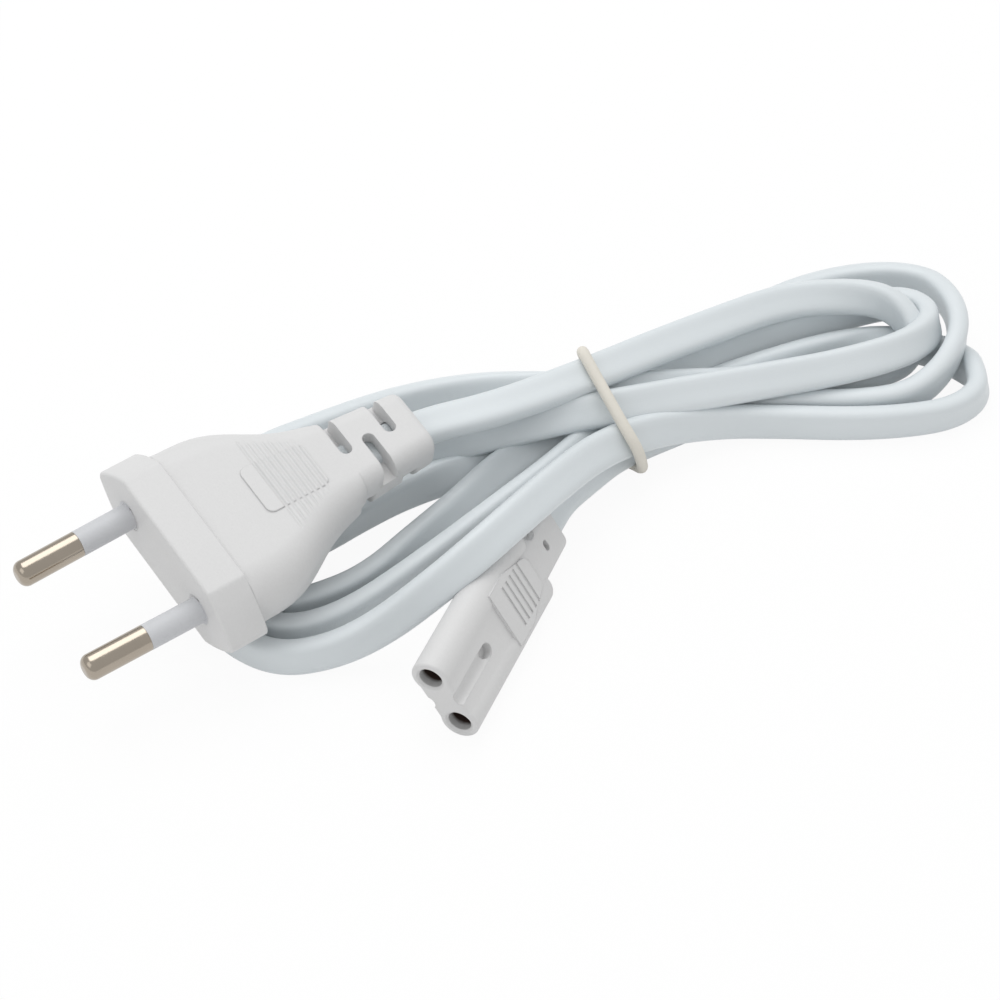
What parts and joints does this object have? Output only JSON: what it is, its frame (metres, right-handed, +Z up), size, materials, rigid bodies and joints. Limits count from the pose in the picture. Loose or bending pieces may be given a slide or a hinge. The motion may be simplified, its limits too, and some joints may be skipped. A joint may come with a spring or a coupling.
{
  "type": "power cord",
  "caption": "Flat two core power cord with a two pin plug at one end and a figure eight appliance connector at the other, folded in loops and tied with an elastic band",
  "frame": {"origin": "middle of the box at the table surface, under the tied cord", "axes": "+X runs along the hank from the plug's pins to the far loops, +Z up from the table"},
  "size_m": [0.1592, 0.0692, 0.0244],
  "materials": {
    "moulding_white": "satin soft moulding",
    "cord_white": "smooth soft cord jacket",
    "tie_cream": "matte elastic",
    "pin_metal": "bright plating",
    "sleeve_grey": "smooth hard insulation",
    "insert_white": "plain hard insert",
    "contact_metal": "drawn tube",
    "copper": "bare strands",
    "core_brown": "smooth insulation",
    "core_blue": "smooth insulation"
  },
  "bodies": {
    "root": {"plug_housing": "moulding_white", "pin_bridge": "insert_white", "live_pin": "pin_metal", "neutral_pin": "pin_metal", "live_pin_sleeve": "sleeve_grey", "neutral_pin_sleeve": "sleeve_grey", "plug_live_core": "core_brown", "plug_neutral_core": "core_blue", "plug_live_strands": "copper", "plug_neutral_strands": "copper", "connector_housing": "moulding_white", "contact_carrier": "insert_white", "live_contact": "contact_metal", "neutral_contact": "contact_metal", "connector_live_core": "core_brown", "connector_neutral_core": "core_blue", "connector_live_strands": "copper", "connector_neutral_strands": "copper", "plug_lead": "cord_white", "hank": "cord_white", "connector_lead": "cord_white", "elastic_band": "tie_cream"}
  },
  "joints": []
}
